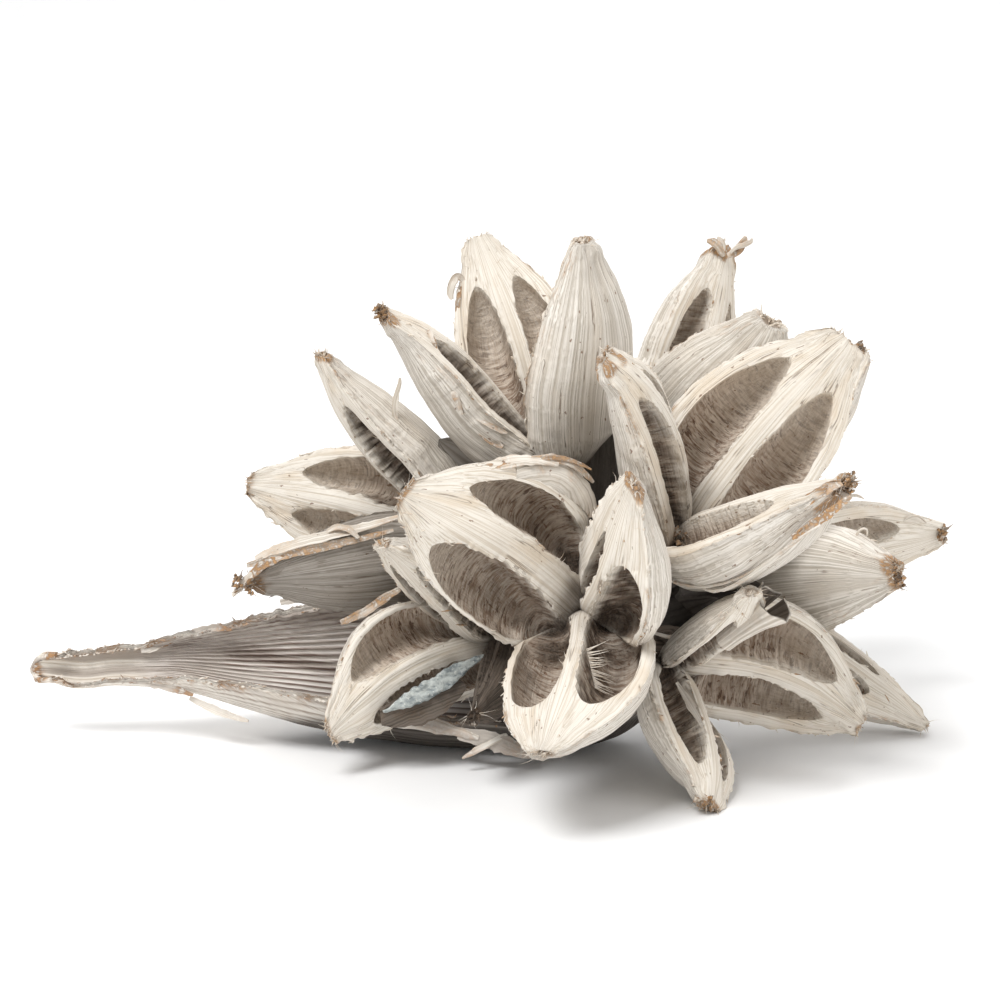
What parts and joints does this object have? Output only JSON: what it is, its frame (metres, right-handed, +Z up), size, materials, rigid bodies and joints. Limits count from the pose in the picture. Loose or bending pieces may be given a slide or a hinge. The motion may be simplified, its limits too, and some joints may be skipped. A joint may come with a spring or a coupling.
{
  "type": "dried star pod seed head",
  "caption": "Dried, bleached palm-like seed head: a long boat-shaped bract with a cluster of open, three-valved woody capsules that spread like a star.",
  "frame": {"origin": "the flat spot on the bract's belly where the seed head rests", "axes": "+Z up from the surface that it rests on, -X along the bract's beak, -Y to the front, where the nearest open capsule faces"},
  "size_m": [0.2358, 0.1501, 0.1308],
  "materials": {
    "capsule": "dry bleached woody husk, fibrous, matte",
    "bract": "dry ribbed sheath, bleached grey outside and brown inside, matte",
    "stalk": "dry brown fibrous stalk, matte",
    "aril": "crumpled blue-grey seed coat, papery, matte"
  },
  "bodies": {
    "root": {"bract": "bract", "flower_stalk": "stalk", "capsule_front": "capsule", "capsule_right": "capsule", "capsule_upper_left": "capsule", "capsule_upper_right": "capsule", "capsule_far_right": "capsule", "capsule_low_right": "capsule", "capsule_low_left": "capsule", "capsule_left": "capsule", "seed_aril": "aril"}
  },
  "joints": []
}
